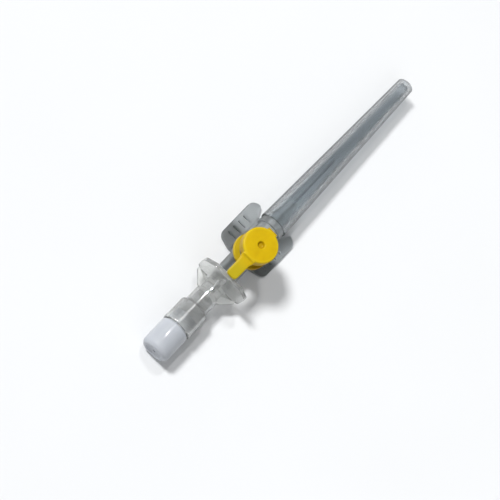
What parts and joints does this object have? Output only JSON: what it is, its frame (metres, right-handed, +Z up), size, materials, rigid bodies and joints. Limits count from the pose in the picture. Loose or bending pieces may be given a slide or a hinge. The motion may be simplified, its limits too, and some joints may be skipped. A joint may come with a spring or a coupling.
{
  "type": "iv cannula",
  "caption": "Ported intravenous cannula with wings, hinged yellow port cap, steel needle in its clear hub, white vent plug and tapered clear needle cover.",
  "frame": {"origin": "on the flat underside of the wings, straight below the injection port's centre line", "axes": "+X along the device to the needle point, +Y across it to the device's left, +Z up out of the port"},
  "size_m": [0.1147, 0.0176, 0.018],
  "materials": {
    "clear_plastic": "gloss",
    "cover_plastic": "gloss",
    "wing_plastic": "satin",
    "yellow_plastic": "satin",
    "white_plastic": "satin",
    "valve_rubber": "matte",
    "catheter_film": "satin",
    "filter_felt": "matte",
    "steel": "satin"
  },
  "bodies": {
    "hub": {"catheter_hub": "wing_plastic", "port_valve": "valve_rubber", "catheter_wedge": "steel", "catheter_tube": "catheter_film", "cap_ring": "yellow_plastic"},
    "cap": {"port_cap": "yellow_plastic"},
    "needle_unit": {"needle_hub": "clear_plastic", "needle": "steel"},
    "plug": {"vent_plug": "white_plastic", "vent_filter": "filter_felt"},
    "cover": {"needle_cover": "cover_plastic"}
  },
  "joints": [
    {"name": "cap_hinge", "type": "hinge", "parent": "hub", "child": "cap", "pos_m": [0.0057, 0, 0.016], "axis": [0, 1, 0], "range_deg": [0, 150]},
    {"name": "needle_slide", "type": "slide", "parent": "hub", "child": "needle_unit", "axis": [-1, 0, 0], "range_m": [0, 0.062]},
    {"name": "plug_slide", "type": "slide", "parent": "needle_unit", "child": "plug", "axis": [-1, 0, 0], "range_m": [0, 0.012]},
    {"name": "cover_slide", "type": "slide", "parent": "hub", "child": "cover", "axis": [1, 0, 0], "range_m": [0, 0.066]}
  ]
}
